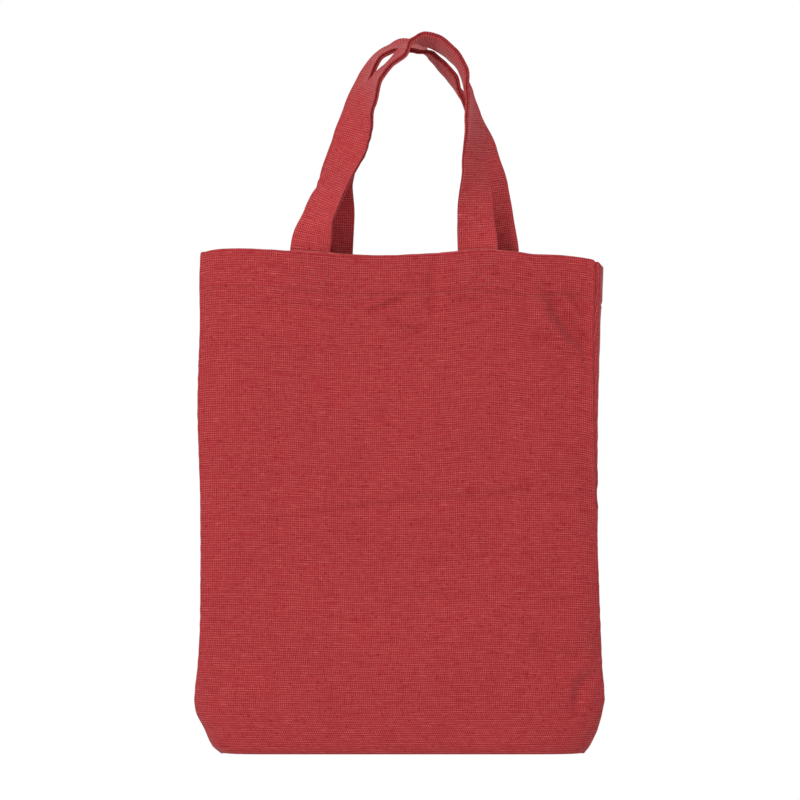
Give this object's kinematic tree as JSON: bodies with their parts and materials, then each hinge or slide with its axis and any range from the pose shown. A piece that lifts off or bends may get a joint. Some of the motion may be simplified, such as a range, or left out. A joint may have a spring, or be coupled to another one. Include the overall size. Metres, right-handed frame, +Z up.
{
  "type": "tote bag",
  "caption": "Plain red slub-cotton tote bag with a boxed base, a stitched hem and a pair of strap handles, in the form it takes hanging by them.",
  "frame": {"origin": "under the tops of the handles, where a peg or hook carries the bag", "axes": "+Z up, front of the bag towards -Y, +X to the right as seen from the front"},
  "size_m": [0.3065, 0.061, 0.5378],
  "materials": {
    "panel_cotton": "matt slub weave",
    "handle_cotton": "matt slub weave, folded"
  },
  "bodies": {
    "root": {"front_panel": "panel_cotton", "back_panel": "panel_cotton", "front_handle": "handle_cotton", "back_handle": "handle_cotton"}
  },
  "joints": []
}
